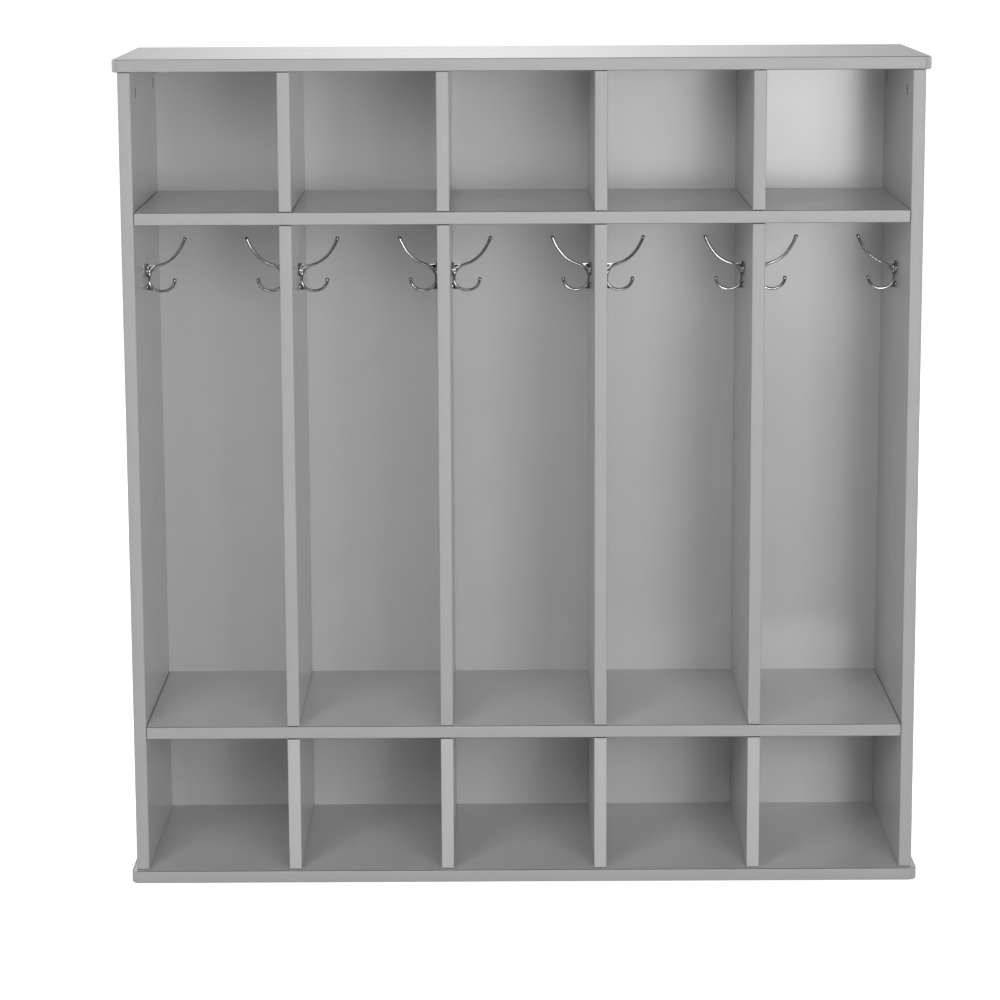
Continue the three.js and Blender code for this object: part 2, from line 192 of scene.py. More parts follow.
def finished(piece, slot, *nodes):
    """Puts a piece on the locker's body, in place of the solids that it stands for."""
    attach(piece, "root")
    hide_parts(*nodes)


def box_centre(node):
    low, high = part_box(node)
    return (low + high) / 2


def divider_nodes(tier):
    return [f"{tier}_divider_{i}" for i in range(1, BAY_COUNT)]


def wall_place(point, inward):
    """A matrix at a point of a wall, with Z pointing inward along X."""
    return Matrix.Translation(point) @ Matrix.Rotation(inward * math.pi / 2, 4, "Y")


# Meshes

def shade(mesh, sharp_degrees=SHARP_DEGREES, flat_area=None):
    """Smooth across small angles, and flat on faces larger than flat_area."""
    for polygon in mesh.polygons:
        polygon.use_smooth = flat_area is None or polygon.area < flat_area
    mesh.set_sharp_from_angle(angle=math.radians(sharp_degrees))


def mesh_of(shape, name, **shading):
    """Turns a shape into a mesh, merged and shaded, and frees it."""
    bmesh.ops.remove_doubles(shape, verts=shape.verts, dist=MERGE_DISTANCE)
    bmesh.ops.recalc_face_normals(shape, faces=shape.faces)
    mesh = bpy.data.meshes.new(name)
    shape.to_mesh(mesh)
    shape.free()
    shade(mesh, **shading)
    return mesh


def add_rings(shape, rings):
    """Joins closed rings of points into a tube with a face over either end."""
    loops = [[shape.verts.new(point) for point in ring] for ring in rings]
    shape.faces.new(loops[0])
    shape.faces.new(loops[-1])
    for low, high in zip(loops, loops[1:]):
        for i in range(len(low)):
            j = (i + 1) % len(low)
            shape.faces.new((low[i], low[j], high[j], high[i]))


def add_box(shape, low, high):
    corners = [(low.x, low.y), (high.x, low.y), (high.x, high.y), (low.x, high.y)]
    add_rings(shape, [[(x, y, z) for x, y in corners] for z in (low.z, high.z)])


def add_turned(shape, profile, place, sides=ROUND_SIDES):
    """Turns (radius, height) pairs about the Z axis, and puts the result at a matrix."""
    angles = [2 * math.pi * i / sides for i in range(sides)]
    add_rings(shape, [
        [place @ Vector((radius * math.cos(a), radius * math.sin(a), height)) for a in angles]
        for radius, height in profile
    ])


def add_cross(shape, place, length, width, depth):
    """A cross whose arms get shorter downwards, to cut into a face at the place."""
    half = width / 2
    rings = []
    for share, z in ((CROSS_FOOT_SHARE, -depth), (1, 0), (1, depth)):
        reach = length / 2 * share
        outline = [
            (reach, -half), (reach, half), (half, half),
            (half, reach), (-half, reach), (-half, half),
            (-reach, half), (-reach, -half), (-half, -half),
            (-half, -reach), (half, -reach), (half, -half),
        ]
        rings.append([place @ Vector((x, y, z)) for x, y in outline])
    add_rings(shape, rings)


def add_recess(shape, place, head):
    """The cross recess of a screw, in proportion to its head."""
    length = head * RECESS_LENGTH_SHARE
    add_cross(shape, place, length, head * RECESS_WIDTH_SHARE, head * RECESS_DEPTH_SHARE)


def arc(centre_u, centre_v, radius, start_degrees, end_degrees, steps):
    """Points on an arc, from start to end."""
    points = []
    for i in range(steps + 1):
        angle = math.radians(start_degrees + (end_degrees - start_degrees) * i / steps)
        points.append((centre_u + radius * math.cos(angle), centre_v + radius * math.sin(angle)))
    return points


def settled(piece):
    """Turns a piece's modifiers into its own mesh."""
    graph = bpy.context.evaluated_depsgraph_get()
    mesh = bpy.data.meshes.new_from_object(piece.evaluated_get(graph))
    piece.modifiers.clear()
    piece.data = mesh


def carve(piece, shape, material, **shading):
    """Cuts a shape out of a piece. The cut faces take the material."""
    cutter = new_piece("cutter", mesh_of(shape, "cutter"), material)
    cut = piece.modifiers.new("cut", "BOOLEAN")
    cut.object = cutter
    cut.operation = "DIFFERENCE"
    cut.solver = "EXACT"
    cut.material_mode = "TRANSFER"
    settled(piece)
    bpy.data.objects.remove(cutter)
    shade(piece.data, **shading)


def kept_mesh(piece):
    """Removes a piece, and keeps its mesh for the pieces that share it."""
    mesh = piece.data
    bpy.data.objects.remove(piece)
    return mesh


# Materials. A noise has its cells to a metre, and mostly lies in this range.

NOISE_RANGE = (0.3, 0.7)

# Laminate: cloudy print, specks, gloss, pebbles and ripples
CLOUD_CELLS = 14
CLOUD_DARK_SHARE = 0.985
CLOUD_DARK_WARMTH = -0.004
CLOUD_PALE_SHARE = 1.015
CLOUD_PALE_WARMTH = -0.002
SPECK_CELLS = 900
SPECK_RANGE = (0.5, 0.75)
SPECK_DARK_SHARE = 0.8
GLOSS_CELLS = 60
GLOSS_BELOW = 0.01
GLOSS_ABOVE = 0.012
PEBBLE_CELLS = 1400
PEBBLE_HEIGHT = 0.0002
PEBBLE_STRENGTH = 0.08
RIPPLE_CELLS = 9
RIPPLE_HEIGHT = 0.0005
RIPPLE_STRENGTH = 0.02

# Chipboard: chips, the dark gaps between them, and its rough surface
CHIP_CELLS = 420
CHIP_STRETCH = (1, 1, 2.5)
CHIP_DARK = (0.36, 0.27, 0.17)
CHIP_PALE = (0.55, 0.44, 0.3)
GAP_CELLS = 900
GAP_RANGE = (0.5, 0.7)
GAP_SHARE = 0.7
GAP_COLOUR = (0.2, 0.14, 0.09)
CHIP_ROUGHNESS = 0.85
ROUGH_CELLS = 600
ROUGH_HEIGHT = 0.0006
ROUGH_STRENGTH = 0.5

# Metals: tint, sheen and waves
TINT_CELLS = 180
TINT_DARK_SHARE = 0.93
SHEEN_CELLS = 420
WAVE_CELLS = 260
WAVE_HEIGHT = 0.0002


def node_tree(name):
    """A new material, its nodes, and its main shader."""
    material = bpy.data.materials.new(name)
    material.use_nodes = True
    tree = material.node_tree
    return material, tree, tree.nodes["Principled BSDF"]


def own_coordinates(tree):
    return tree.nodes.new("ShaderNodeTexCoord").outputs["Object"]


def add_noise(tree, cells, detail=2.0, roughness=0.5, stretch=(1, 1, 1)):
    """Noise over the piece's own coordinates."""
    mapping = tree.nodes.new("ShaderNodeMapping")
    mapping.inputs["Scale"].default_value = stretch
    noise = tree.nodes.new("ShaderNodeTexNoise")
    noise.inputs["Scale"].default_value = cells
    noise.inputs["Detail"].default_value = detail
    noise.inputs["Roughness"].default_value = roughness
    tree.links.new(own_coordinates(tree), mapping.inputs["Vector"])
    tree.links.new(mapping.outputs["Vector"], noise.inputs["Vector"])
    return noise.outputs["Fac"]


def add_range(tree, value, low, high, value_range=NOISE_RANGE):
    """Spreads a value that runs over value_range from low to high."""
    start, end = value_range
    spread = tree.nodes.new("ShaderNodeMapRange")
    spread.inputs["From Min"].default_value = start
    spread.inputs["From Max"].default_value = end
    spread.inputs["To Min"].default_value = low
    spread.inputs["To Max"].default_value = high
    tree.links.new(value, spread.inputs["Value"])
    return spread.outputs["Result"]


def add_mix(tree, factor, first, second):
    """A colour between two, which may be colours or sockets."""
    mix = tree.nodes.new("ShaderNodeMix")
    mix.data_type = "RGBA"
    tree.links.new(factor, mix.inputs["Factor"])
    for socket, colour in ((mix.inputs["A"], first), (mix.inputs["B"], second)):
        if isinstance(colour, bpy.types.NodeSocket):
            tree.links.new(colour, socket)
        else:
            socket.default_value = (*colour, 1)
    return mix.outputs["Result"]


def add_math(tree, operation, first, second):
    """The result of two values, which may be numbers or sockets."""
    node = tree.nodes.new("ShaderNodeMath")
    node.operation = operation
    for socket, value in zip(node.inputs, (first, second)):
        if isinstance(value, bpy.types.NodeSocket):
            tree.links.new(value, socket)
        else:
            socket.default_value = value
    return node.outputs[0]


def add_bump(tree, noise, height, strength, below=None):
    """A bump from a noise, over another one where below is given."""
    bump = tree.nodes.new("ShaderNodeBump")
    bump.inputs["Distance"].default_value = height
    bump.inputs["Strength"].default_value = strength
    tree.links.new(noise, bump.inputs["Height"])
    if below is not None:
        tree.links.new(below, bump.inputs["Normal"])
    return bump.outputs["Normal"]


def add_glow(tree, strength):
    glow = tree.nodes.new("ShaderNodeEmission")
    tree.links.new(strength, glow.inputs["Strength"])
    return glow.outputs[0]


def grey(level, warmth=0.0):
    """A grey, which a negative warmth makes a little bluer."""
    return (level * (1 + warmth), level, level * (1 - warmth))


def laminate(name, level, roughness, speck_share):
    """Satin melamine face: cloudy print, fine speckle and a pebbled press texture."""
    material, tree, shader = node_tree(name)
    cloud = add_range(tree, add_noise(tree, CLOUD_CELLS, detail=4), 0, 1)
    dark = grey(level * CLOUD_DARK_SHARE, CLOUD_DARK_WARMTH)
    pale = grey(level * CLOUD_PALE_SHARE, CLOUD_PALE_WARMTH)
    print_colour = add_mix(tree, cloud, dark, pale)
    specks = add_noise(tree, SPECK_CELLS, detail=3, roughness=0.7)
    speck = add_range(tree, specks, 0, speck_share, SPECK_RANGE)
    speck_colour = grey(level * SPECK_DARK_SHARE, CLOUD_DARK_WARMTH)
    colour = add_mix(tree, speck, print_colour, speck_colour)
    tree.links.new(colour, shader.inputs["Base Color"])
    uneven = add_noise(tree, GLOSS_CELLS, detail=3)
    gloss = add_range(tree, uneven, roughness - GLOSS_BELOW, roughness + GLOSS_ABOVE)
    tree.links.new(gloss, shader.inputs["Roughness"])
    pebbles = add_noise(tree, PEBBLE_CELLS, detail=2)
    pebbled = add_bump(tree, pebbles, PEBBLE_HEIGHT, PEBBLE_STRENGTH)
    ripples = add_noise(tree, RIPPLE_CELLS, detail=0)
    rippled = add_bump(tree, ripples, RIPPLE_HEIGHT, RIPPLE_STRENGTH, pebbled)
    tree.links.new(rippled, shader.inputs["Normal"])
    return material


def chipboard(name):
    """Raw core of the boards: tan chips of mixed sizes."""
    material, tree, shader = node_tree(name)
    chips = add_range(tree, add_noise(tree, CHIP_CELLS, detail=4, stretch=CHIP_STRETCH), 0, 1)
    gaps = add_range(tree, add_noise(tree, GAP_CELLS, detail=3), 0, GAP_SHARE, GAP_RANGE)
    tan = add_mix(tree, chips, CHIP_DARK, CHIP_PALE)
    tree.links.new(add_mix(tree, gaps, tan, GAP_COLOUR), shader.inputs["Base Color"])
    shader.inputs["Roughness"].default_value = CHIP_ROUGHNESS
    rough = add_bump(tree, add_noise(tree, ROUGH_CELLS, detail=4), ROUGH_HEIGHT, ROUGH_STRENGTH)
    tree.links.new(rough, shader.inputs["Normal"])
    return material


def metal(name, colour, roughness, spread, wave_strength):
    """Bright metal with uneven gloss and a slightly wavy surface."""
    material, tree, shader = node_tree(name)
    shader.inputs["Metallic"].default_value = 1
    tint = add_range(tree, add_noise(tree, TINT_CELLS, detail=3), 0, 1)
    dark = tuple(level * TINT_DARK_SHARE for level in colour)
    tree.links.new(add_mix(tree, tint, dark, colour), shader.inputs["Base Color"])
    uneven = add_noise(tree, SHEEN_CELLS, detail=3, roughness=0.6)
    sheen = add_range(tree, uneven, roughness, roughness + spread)
    tree.links.new(sheen, shader.inputs["Roughness"])
    wave = add_bump(tree, add_noise(tree, WAVE_CELLS, detail=2), WAVE_HEIGHT, wave_strength)
    tree.links.new(wave, shader.inputs["Normal"])
    return material


# The edge band is a darker copy of the face laminate; the gap between them is partly painted shade,
# balancing the front edges against the interiors
face = laminate("laminate_face", level=0.56, roughness=0.24, speck_share=0.25)
band = laminate("laminate_edge_band", level=0.343, roughness=0.48, speck_share=0.1)
# A paler copy of the edge band for the lowest dividers: painted light
painted_light_band = laminate("laminate_edge_band_painted_light", level=0.43, roughness=0.48, speck_share=0.1)
core = chipboard("chipboard")
# Near-black laminate: painted shade in the grooves at the board ends and in the cam holes, and a dark
# line along the level arrises
joint_shade = laminate("dark_line_painted_shade", level=0.05, roughness=0.7, speck_share=0.3)
chrome = metal("chrome_plate", (0.44, 0.445, 0.45), roughness=0.05, spread=0.03, wave_strength=0.02)
zinc = metal("die_cast_zinc", (0.48, 0.48, 0.48), roughness=0.36, spread=0.14, wave_strength=0.4)
steel = metal("zinc_plated_steel", (0.62, 0.62, 0.63), roughness=0.22, spread=0.12, wave_strength=0.2)


# Boards

def leans_within(polygon, leans):
    """Whether a face's lean from upright is between two angles in degrees."""
    lean = math.degrees(math.asin(min(abs(polygon.normal.z), 1)))
    return leans[0] < lean < leans[1]


def board_section(thick, depth):
    """A board seen on end: across its thickness, and back from its banded front edge."""
    half_seam = SEAM_WIDTH / 2
    seam = [
        (0, BOARD_BAND + half_seam), (SEAM_DEPTH, BOARD_BAND), (0, BOARD_BAND - half_seam),
    ]
    near = seam + arc(BOARD_ARRIS, BOARD_ARRIS, BOARD_ARRIS, 180, 270, ARC_STEPS)
    far = [(thick - u, v) for u, v in reversed(near)]
    rear = [
        (thick, depth - REAR_ARRIS), (thick - REAR_ARRIS, depth),
        (REAR_ARRIS, depth), (0, depth - REAR_ARRIS),
    ]
    return near + far + rear


def board_rings(thick, depth, length):
    """The section repeated along the board, drawn in at either end for a fine shadow line."""
    section = board_section(thick, depth)
    start = [
        (END_GROOVE, 0), (END_GROOVE, END_RELIEF), (END_ARRIS, END_RELIEF),
        (0, END_RELIEF + END_ARRIS),
    ]
    end = [(inset, length - along) for inset, along in reversed(start)]
    return [
        [
            (min(max(u, inset), thick - inset), min(max(v, inset), depth - inset), along)
            for u, v in section
        ]
        for inset, along in start + end
    ]


def board(node, low, high, axis):
    """A board between two corners, which runs up along Z or across along X."""
    size = high - low
    thick, length = (size.x, size.z) if axis == UP else (size.z, size.x)
    rings = []
    for ring in board_rings(thick, size.y, length):
        points = [Vector(point) if axis == UP else Vector(point).zyx for point in ring]
        rings.append([low + point for point in points])
    shape = bmesh.new()
    add_rings(shape, rings)
    mesh = mesh_of(shape, node, flat_area=FLAT_AREA)
    mark_faces(mesh, low, high, axis)
    return new_piece(f"{node}_board", mesh, face, band, joint_shade)


def mark_faces(mesh, low, high, axis):
    """Edge band in front of the seam, and the near-black material: painted shade in the grooves at
    the ends, and a dark line along a level arris.
    """
    start = low[axis] + END_RELIEF
    end = high[axis] - END_RELIEF
    for polygon in mesh.polygons:
        if not start < polygon.center[axis] < end:
            # Painted shade in the groove at each end, where the board meets the next
            polygon.material_index = JOINT_SHADE_INDEX
        elif polygon.center.y < low.y + BOARD_BAND:
            # A dark line along the level arris, in front of the seam
            dark = leans_within(polygon, BOARD_LINE_LEANS)
            polygon.material_index = JOINT_SHADE_INDEX if dark else BAND_INDEX


def upright_board(node, below, above):
    """A board that stands between two level ones."""
    low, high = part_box(node)
    low.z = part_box(below)[1].z + BUTT_GAP
    high.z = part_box(above)[0].z - BUTT_GAP
    return board(node, low, high, UP)


def slab_outline(half_x, half_y, inset):
    """A slab's plan about its middle, with rounded corners, drawn in by inset."""
    corners = (
        (1, 1, REAR_CORNER), (-1, 1, REAR_CORNER), (-1, -1, FRONT_CORNER), (1, -1, FRONT_CORNER),
    )
    outline = []
    for i, (side, end, radius) in enumerate(corners):
        x = side * (half_x - radius)
        y = end * (half_y - radius)
        outline += arc(x, y, radius - inset, 90 * i, 90 * (i + 1), CORNER_STEPS)
    return outline


def slab_board(node):
    """Top or base: banded all round, with both arrises rounded and a fine seam on each face."""
    low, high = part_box(node)
    thick = high.z - low.z
    half_seam = SEAM_WIDTH / 2
    lower = [(SLAB_BAND + half_seam, 0), (SLAB_BAND, SEAM_DEPTH), (SLAB_BAND - half_seam, 0)]
    lower += arc(SLAB_ARRIS, SLAB_ARRIS, SLAB_ARRIS, 270, 180, ARC_STEPS)
    upper = [(inset, thick - z) for inset, z in reversed(lower)]
    shape = bmesh.new()
    add_rings(shape, [
        [(x, y, low.z + z) for x, y in slab_outline(high.x, high.y, inset)]
        for inset, z in lower + upper
    ])
    mesh = mesh_of(shape, node, flat_area=FLAT_AREA)
    band_inset = SLAB_BAND + SEAM_WIDTH
    for polygon in mesh.polygons:
        centre = polygon.center
        inside = abs(centre.x) < high.x - band_inset and abs(centre.y) < high.y - band_inset
        # A dark line along both arrises, all round
        if leans_within(polygon, SLAB_LINE_LEANS):
            polygon.material_index = JOINT_SHADE_INDEX
        else:
            polygon.material_index = FACE_INDEX if inside else BAND_INDEX
    return new_piece(f"{node}_board", mesh, face, band, joint_shade)


def cut_rebate(piece):
    """Cuts the room that the back panel takes up, open to the rear."""
    low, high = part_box("back_panel")
    gap = Vector((BACK_GAP, BACK_GAP, BACK_GAP))
    rebate = bmesh.new()
    add_box(rebate, low - gap, high + gap)
    carve(piece, rebate, core, flat_area=FLAT_AREA)


def slabs():
    for node in ("top_panel", "base_panel"):
        piece = slab_board(node)
        cut_rebate(piece)
        if node == "base_panel":
            flush_screws("base_panel_screws", piece, base_screw_places())
        finished(piece, "laminate", node)


def side_panels():
    """Each side stands between the slabs, with the rebate and two cam holes."""
    hole = [(CAM_HOLE / 2, -CAM_HOLE_DEPTH), (CAM_HOLE / 2, CAM_HOLE_DEPTH)]
    for side, inward in SIDES:
        node = f"{side}_side_panel"
        piece = upright_board(node, "base_panel", "top_panel")
        cut_rebate(piece)
        holes = bmesh.new()
        for place in cam_places(side, inward).values():
            add_turned(holes, hole, place)
        # The cam holes' walls take the near-black material: painted shade in the recess round each
        # cam
        carve(piece, holes, joint_shade, flat_area=FLAT_AREA)
        finished(piece, "laminate", node)


def shelves():
    """Each shelf runs from side to side."""
    for node in ("upper_shelf", "lower_shelf"):
        low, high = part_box(node)
        low.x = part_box("left_side_panel")[1].x + BUTT_GAP
        high.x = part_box("right_side_panel")[0].x - BUTT_GAP
        finished(board(node, low, high, ACROSS), "laminate", node)


def dividers():
    """Each tier's dividers stand between the level boards around it, the lowest with a paler copy of
    the edge band: painted light.
    """
    levels = ("base_panel", "lower_shelf", "upper_shelf", "top_panel")
    for tier, below, above in zip(TIERS, levels, levels[1:]):
        for node in divider_nodes(tier):
            piece = upright_board(node, below, above)
            # Painted light: the lowest dividers' edges are lighter than the others
            if tier == "lower":
                piece.data.materials[BAND_INDEX] = painted_light_band
            finished(piece, "laminate", node)


# Back panel, and the flush screws behind and below

def flush_screws(name, board_piece, places):
    """Sinks a hole for each screw into the board, and fills it with a head."""
    radius = FLUSH_HEAD / 2
    hole_radius = radius + SCREW_CLEARANCE / 2
    hole = [
        (hole_radius * FLUSH_HOLE_FOOT_SHARE, -hole_radius), (hole_radius, 0),
        (hole_radius, hole_radius),
    ]
    head = [
        (radius * FLUSH_FOOT_SHARE, -radius), (radius, -FLUSH_RIM_SINK),
        (radius * FLUSH_FLAT_SHARE, -FLUSH_SINK), (radius * FLUSH_MIDDLE_SHARE, -FLUSH_SINK),
    ]
    holes = bmesh.new()
    heads = bmesh.new()
    crosses = bmesh.new()
    for i, upright in enumerate(places, 1):
        place = upright @ Matrix.Rotation(i * SCREW_TURN, 4, "Z")
        add_turned(holes, hole, place, FLUSH_SIDES)
        add_turned(heads, head, place, FLUSH_SIDES)
        add_recess(crosses, place @ Matrix.Translation((0, 0, -FLUSH_SINK)), FLUSH_HEAD)
    carve(board_piece, holes, core, flat_area=FLAT_AREA)
    screws = new_piece(name, mesh_of(heads, name), steel)
    carve(screws, crosses, steel)
    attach(screws, "root")


def base_screw_places():
    """Two up into each side and each lower divider, facing down."""
    low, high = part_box("base_panel")
    turn = Matrix.Rotation(math.pi, 4, "X")
    return [
        Matrix.Translation((box_centre(node).x, y, low.z)) @ turn
        for node in ("left_side_panel", *divider_nodes("lower"), "right_side_panel")
        for y in (low.y + BASE_SCREW_SETBACK, high.y - BASE_SCREW_SETBACK)
    ]


def spread(start, end, pitch):
    """Even places from start to end, no further apart than pitch."""
    count = math.ceil((end - start) / pitch)
    return [start + (end - start) * i / count for i in range(count + 1)]


def back_screw_places():
    """Round the edge, along both shelves and up the dividers, facing the rear."""
    low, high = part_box("back_panel")
    left, right = low.x + BACK_SCREW_INSET, high.x - BACK_SCREW_INSET
    bottom, top = low.z + BACK_SCREW_INSET, high.z - BACK_SCREW_INSET
    points = [(x, z) for x in spread(left, right, BACK_SCREW_PITCH) for z in (bottom, top)]
    points += [(x, z) for z in spread(bottom, top, BACK_SCREW_PITCH)[1:-1] for x in (left, right)]
    divider_xs = [box_centre(node).x for node in divider_nodes("middle")]
    shelf_zs = [box_centre(node).z for node in ("lower_shelf", "upper_shelf")]
    bay_edges = [left, *divider_xs, right]
    bay_middles = [(a + b) / 2 for a, b in zip(bay_edges, bay_edges[1:])]
    points += [(x, z) for x in bay_middles for z in shelf_zs]
    between_shelves = spread(*shelf_zs, DIVIDER_SCREW_PITCH)[1:-1]
    points += [(x, z) for x in divider_xs for z in between_shelves]
    turn = Matrix.Rotation(-math.pi / 2, 4, "X")
    return [Matrix.Translation((x, high.y, z)) @ turn for x, z in points]


def back_panel():
    low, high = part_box("back_panel")
    rings = []
    for inset, y in (
        (REAR_ARRIS, low.y), (0, low.y + REAR_ARRIS), (0, high.y - REAR_ARRIS), (REAR_ARRIS, high.y),
    ):
        x0, x1 = low.x + inset, high.x - inset
        z0, z1 = low.z + inset, high.z - inset
        rings.append([(x0, y, z0), (x1, y, z0), (x1, y, z1), (x0, y, z1)])
    shape = bmesh.new()
    add_rings(shape, rings)
    piece = new_piece("back_panel_board", mesh_of(shape, "back_panel", flat_area=FLAT_AREA), face)
    flush_screws("back_panel_screws", piece, back_screw_places())
    finished(piece, "laminate", "back_panel")


# Cam locks and cam bolts

def cam_places(side, inward):
    """The places of a side's cam locks on its inner face, by node."""
    low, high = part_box(f"{side}_side_panel")
    places = {}
    for end in ("front", "rear"):
        node = f"{side}_{end}_cam_lock"
        centre = box_centre(node)
        centre.x = high.x if inward > 0 else low.x
        places[node] = wall_place(centre, inward)
    return places


def cam_lock_mesh():
    """A disc along Z with a cross recess, a little below the side's face at zero."""
    low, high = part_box("left_front_cam_lock")
    radius = (high.z - low.z) / 2
    depth = high.x - low.x
    middle = CAM_ARRIS * CAM_ARRIS_MIDDLE_SHARE
    profile = [
        (radius, -depth), (radius, -CAM_SINK - CAM_ARRIS),
        (radius - middle, -CAM_SINK - middle), (radius - CAM_ARRIS, -CAM_SINK),
    ]
    disc = bmesh.new()
    add_turned(disc, profile, Matrix.Identity(4))
    piece = new_piece("cam_lock", mesh_of(disc, "cam_lock"), zinc)
    cross = bmesh.new()
    at_face = Matrix.Translation((0, 0, -CAM_SINK))
    add_cross(cross, at_face, CAM_CROSS_LENGTH, CAM_CROSS_WIDTH, CAM_CROSS_DEPTH)
    carve(piece, cross, zinc)
    return kept_mesh(piece)


def cam_locks():
    mesh = cam_lock_mesh()
    for side, inward in SIDES:
        for node, place in cam_places(side, inward).items():
            piece = new_piece(f"{node}_casting", mesh)
            piece.matrix_world = place
            finished(piece, "zinc", node)


def cam_bolts():
    """The turned bolts keep their solids, in bright steel."""
    for node, solid in frame["nodes"].items():
        if node.endswith("_cam_bolt"):
            solid.material_slots[0].material = steel


# Coat hooks. A hook's own frame has X out from the wall, and Z up from the foot of its centre line.

def bezier(start, control, end, steps):
    """Points from start to end on a curve that is drawn towards control."""
    points = []
    for i in range(steps + 1):
        t = i / steps
        points.append((1 - t) ** 2 * start + 2 * t * (1 - t) * control + t ** 2 * end)
    return points


def hook_curves():
    """The arm's centre line in three curves: upper prong, neck and lower prong, from tip to tip."""
    tip = Vector((TIP_REACH, SHOULDER_HEIGHT + TIP_RISE))
    bend_rise = (BEND_REACH - SHOULDER_REACH) * SHOULDER_SLOPE_SHARE
    bend = Vector((BEND_REACH, SHOULDER_HEIGHT + bend_rise))
    shoulder = Vector((SHOULDER_REACH, SHOULDER_HEIGHT))
    turn_drop = (SHOULDER_REACH - NECK_REACH) * SHOULDER_SLOPE_SHARE
    turn = Vector((NECK_REACH, SHOULDER_HEIGHT - turn_drop))
    neck_end = Vector((NECK_REACH, PRONG_DROP))
    upper = bezier(tip, bend, shoulder, CURVE_STEPS)
    neck = bezier(shoulder, turn, neck_end, CURVE_STEPS)
    half_reach = (PRONG_REACH - NECK_REACH) / 2
    prong = [
        Vector((NECK_REACH + half_reach + half_reach * x, PRONG_DROP + PRONG_DROP * z))
        for x, z in arc(0, 0, 1, 180, 360, 2 * CURVE_STEPS)
    ]
    return upper, neck, prong


def add_arm(shape, points):
    """An oval bar along the line, a little stouter towards its ends, with a ball on each."""
    last = len(points) - 1
    rings = []
    for i, point in enumerate(points):
        along = (points[min(i + 1, last)] - points[max(i - 1, 0)]).normalized()
        girth = 1 + ARM_FLARE_SHARE * (2 * i / last - 1) ** 2
        ring = []
        for j in range(ARM_SIDES):
            angle = 2 * math.pi * j / ARM_SIDES
            across = math.cos(angle) * girth * ARM_THICK / 2
            wide = math.sin(angle) * girth * ARM_WIDE / 2
            ring.append((point.x - along.y * across, wide, point.y + along.x * across))
        rings.append(ring)
    add_rings(shape, rings)
    for tip in (points[0], points[-1]):
        bmesh.ops.create_uvsphere(
            shape, u_segments=TIP_SIDES, v_segments=TIP_RINGS, radius=TIP_DIAMETER / 2,
            matrix=Matrix.Translation((tip.x, 0, tip.y)),
        )


def add_web(shape, curve, end_height, pad_thick):
    """A plate in the hook's plane, from a curve of the arm back to the middle of a pad."""
    back = pad_thick / 2
    outline = [*curve, Vector((back, end_height)), Vector((back, curve[0].y))]
    add_rings(shape, [[(x, y, z) for x, z in outline] for y in (-WEB_THICK / 2, WEB_THICK / 2)])


def add_pad(shape, outline, thick):
    """A plate flat on the wall."""
    add_rings(shape, [[(x, y, z) for y, z in outline] for x in (HOOK_GAP, HOOK_GAP + thick)])


def plate_outline():
    """A round hub with an ear at either side, joined by tangents."""
    ear = SCREW_SPACING / 2
    tangent = math.degrees(math.acos((PLATE_HUB - EAR_RADIUS) / ear))
    return (
        arc(ear, PLATE_HEIGHT, EAR_RADIUS, -tangent, tangent, ARC_STEPS)
        + arc(0, PLATE_HEIGHT, PLATE_HUB, tangent, 180 - tangent, ARC_STEPS)
        + arc(-ear, PLATE_HEIGHT, EAR_RADIUS, 180 - tangent, 180 + tangent, ARC_STEPS)
        + arc(0, PLATE_HEIGHT, PLATE_HUB, 180 + tangent, 360 - tangent, ARC_STEPS)
    )


def foot_outline():
    """An oval round the lower web's root."""
    middle = FOOT_LIFT + FOOT_HIGH / 2
    return [
        (y * FOOT_WIDE / 2, middle + z * FOOT_HIGH / 2)
        for y, z in arc(0, 0, 1, 0, 360, FOOT_STEPS)[:-1]
    ]


def blend(piece):
    """Runs the overlapping parts of a casting together, with small fillets between them."""
    remesh = piece.modifiers.new("run together", "REMESH")
    remesh.mode = "VOXEL"
    remesh.voxel_size = CAST_VOXEL
    remesh.use_smooth_shade = True
    smooth = piece.modifiers.new("fillets", "SMOOTH")
    smooth.iterations = CAST_SMOOTHING
    settled(piece)


def hook_mesh():
    """One casting of arm, plate, foot and webs, drilled for two screws."""
    upper, neck, prong = hook_curves()
    shape = bmesh.new()
    add_arm(shape, upper + neck[1:] + prong[1:])
    add_pad(shape, plate_outline(), PLATE_THICK)
    add_pad(shape, foot_outline(), FOOT_THICK)
    add_web(shape, neck[:-UPPER_WEB_END], neck[-UPPER_WEB_END].y, PLATE_THICK)
    start, end = (int(len(prong) * share) for share in LOWER_WEB_SHARES)
    root = prong[start:end]
    add_web(shape, root, root[-1].y, FOOT_THICK)
    piece = new_piece("hook", mesh_of(shape, "hook"), chrome)
    blend(piece)
    head = SCREW_HEAD / 2 + SCREW_CLEARANCE
    shank = SCREW_SHANK / 2 + SCREW_CLEARANCE
    hole = [
        (shank, -PLATE_FACE), (shank, PLATE_FACE - SCREW_SINK), (head, PLATE_FACE),
        (head, 2 * PLATE_FACE),
    ]
    holes = bmesh.new()
    for y in (-SCREW_SPACING / 2, SCREW_SPACING / 2):
        add_turned(holes, hole, wall_place((0, y, PLATE_HEIGHT), 1))
    carve(piece, holes, chrome, sharp_degrees=CAST_SHARP_DEGREES)
    return kept_mesh(piece)


